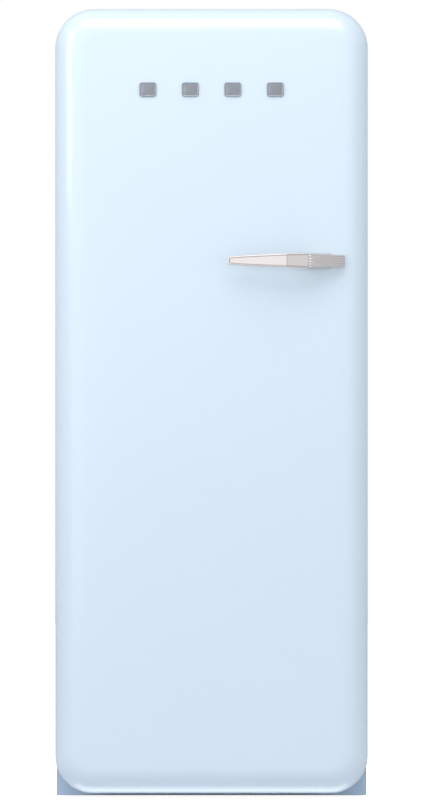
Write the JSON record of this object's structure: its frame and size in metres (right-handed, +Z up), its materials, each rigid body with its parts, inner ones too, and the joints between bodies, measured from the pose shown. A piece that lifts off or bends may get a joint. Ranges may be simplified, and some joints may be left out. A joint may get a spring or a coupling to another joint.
{
  "type": "refrigerator",
  "caption": "Rounded single-door refrigerator with a freezer box at the top inside, lever handle, glass shelves, drawers, door bins, and a compressor and condenser at the back.",
  "frame": {"origin": "centre of the footprint, on the floor", "axes": "+Z up, -Y out of the door's face, +X to the right seen from the front; the door is hinged on the -X side"},
  "size_m": [0.601, 0.728, 1.527],
  "materials": {
    "blue_enamel": "gloss enamel",
    "chrome": "bright nickel-chrome",
    "white_plastic": "satin",
    "clear_plastic": "clear polystyrene",
    "shelf_glass": "tempered sheet glass",
    "grey_rubber": "matt magnetic seal",
    "black_paint": "satin black paint",
    "black_plastic": "grained black moulding",
    "black_rubber": "matt",
    "zinc_steel": "galvanised, dull",
    "foam": "rigid foam, unseen",
    "copper": "drawn copper pipe",
    "aluminium": "satin"
  },
  "bodies": {
    "cabinet": {"cabinet_shell": "blue_enamel", "cabinet_front_frame": "blue_enamel", "bottle_rack": "chrome", "cabinet_liner": "white_plastic", "control_housing": "white_plastic", "evaporation_tray": "white_plastic", "lamp_lens": "clear_plastic", "shelf_glass_upper": "shelf_glass", "shelf_glass_middle": "shelf_glass", "chill_cover_glass": "shelf_glass", "crisper_cover_glass": "shelf_glass", "compressor": "black_paint", "compressor_foot_plate": "black_paint", "condenser_coil": "black_paint", "wall_spacer_left": "black_plastic", "wall_spacer_right": "black_plastic", "starter_relay": "black_plastic", "mains_inlet": "black_rubber", "back_panel": "zinc_steel", "machine_bay_panel": "zinc_steel", "base_pan": "zinc_steel", "compressor_rail": "zinc_steel", "hinge_bracket_top": "zinc_steel", "hinge_bracket_bottom": "zinc_steel", "roller_bracket_left": "zinc_steel", "roller_bracket_right": "zinc_steel", "cabinet_foam": "foam", "discharge_pipe": "copper", "suction_pipe": "copper", "freezer_box": "aluminium", "shelf_trim_upper": "aluminium", "shelf_trim_middle": "aluminium"},
    "door": {"door_skin": "blue_enamel", "door_foam": "foam", "door_liner": "white_plastic", "door_gasket": "grey_rubber", "handle_bar": "chrome", "handle_foot": "chrome", "badge_1": "chrome", "badge_2": "chrome", "badge_3": "chrome", "badge_4": "chrome", "bottle_bin": "clear_plastic", "bottle_bin_rail": "chrome", "middle_bin": "clear_plastic", "middle_bin_rail": "chrome", "upper_bin": "clear_plastic", "upper_bin_rail": "chrome", "dairy_bin": "clear_plastic", "hinge_bush_top": "white_plastic", "hinge_bush_bottom": "white_plastic"},
    "dairy_lid": {"dairy_lid": "clear_plastic"},
    "freezer_flap": {"freezer_flap": "white_plastic"},
    "crisper": {"crisper": "clear_plastic"},
    "chill_drawer": {"chill_drawer": "clear_plastic"},
    "thermostat_knob": {"thermostat_knob": "white_plastic"},
    "foot_left": {"foot_left": "grey_rubber"},
    "foot_right": {"foot_right": "grey_rubber"},
    "roller_left": {"roller_left": "white_plastic"},
    "roller_right": {"roller_right": "white_plastic"}
  },
  "joints": [
    {"name": "door_hinge", "type": "hinge", "parent": "cabinet", "child": "door", "pos_m": [-0.2805, -0.215, 0.75], "axis": [0, 0, -1], "range_deg": [0, 115]},
    {"name": "dairy_lid_hinge", "type": "hinge", "parent": "door", "child": "dairy_lid", "pos_m": [0, -0.1755, 1.2605], "axis": [1, 0, 0], "range_deg": [0, 90]},
    {"name": "freezer_flap_hinge", "type": "hinge", "parent": "cabinet", "child": "freezer_flap", "pos_m": [-0.2315, -0.0593, 1.318], "axis": [0, 0, -1], "range_deg": [0, 82]},
    {"name": "crisper_slide", "type": "slide", "parent": "cabinet", "child": "crisper", "axis": [0, -1, 0], "range_m": [0, 0.115]},
    {"name": "chill_drawer_slide", "type": "slide", "parent": "cabinet", "child": "chill_drawer", "axis": [0, -1, 0], "range_m": [0, 0.185]},
    {"name": "thermostat_turn", "type": "hinge", "parent": "cabinet", "child": "thermostat_knob", "pos_m": [0.085, -0.045, 1.158], "axis": [0, -1, 0], "range_deg": [0, 270]},
    {"name": "foot_left_screw", "type": "slide", "parent": "cabinet", "child": "foot_left", "axis": [0, 0, -1], "range_m": [0, 0.015]},
    {"name": "foot_right_screw", "type": "slide", "parent": "cabinet", "child": "foot_right", "axis": [0, 0, -1], "range_m": [0, 0.015]},
    {"name": "roller_left_spin", "type": "hinge", "parent": "cabinet", "child": "roller_left", "pos_m": [-0.262, 0.3, 0.009], "axis": [1, 0, 0], "continuous": true},
    {"name": "roller_right_spin", "type": "hinge", "parent": "cabinet", "child": "roller_right", "pos_m": [0.262, 0.3, 0.009], "axis": [1, 0, 0], "continuous": true}
  ],
  "couplings": [
    {"joint": "freezer_flap_hinge", "follows": "door_hinge", "ratio": 0.7},
    {"joint": "crisper_slide", "follows": "door_hinge", "m_per_rad": 0.055},
    {"joint": "chill_drawer_slide", "follows": "door_hinge", "m_per_rad": 0.09}
  ]
}
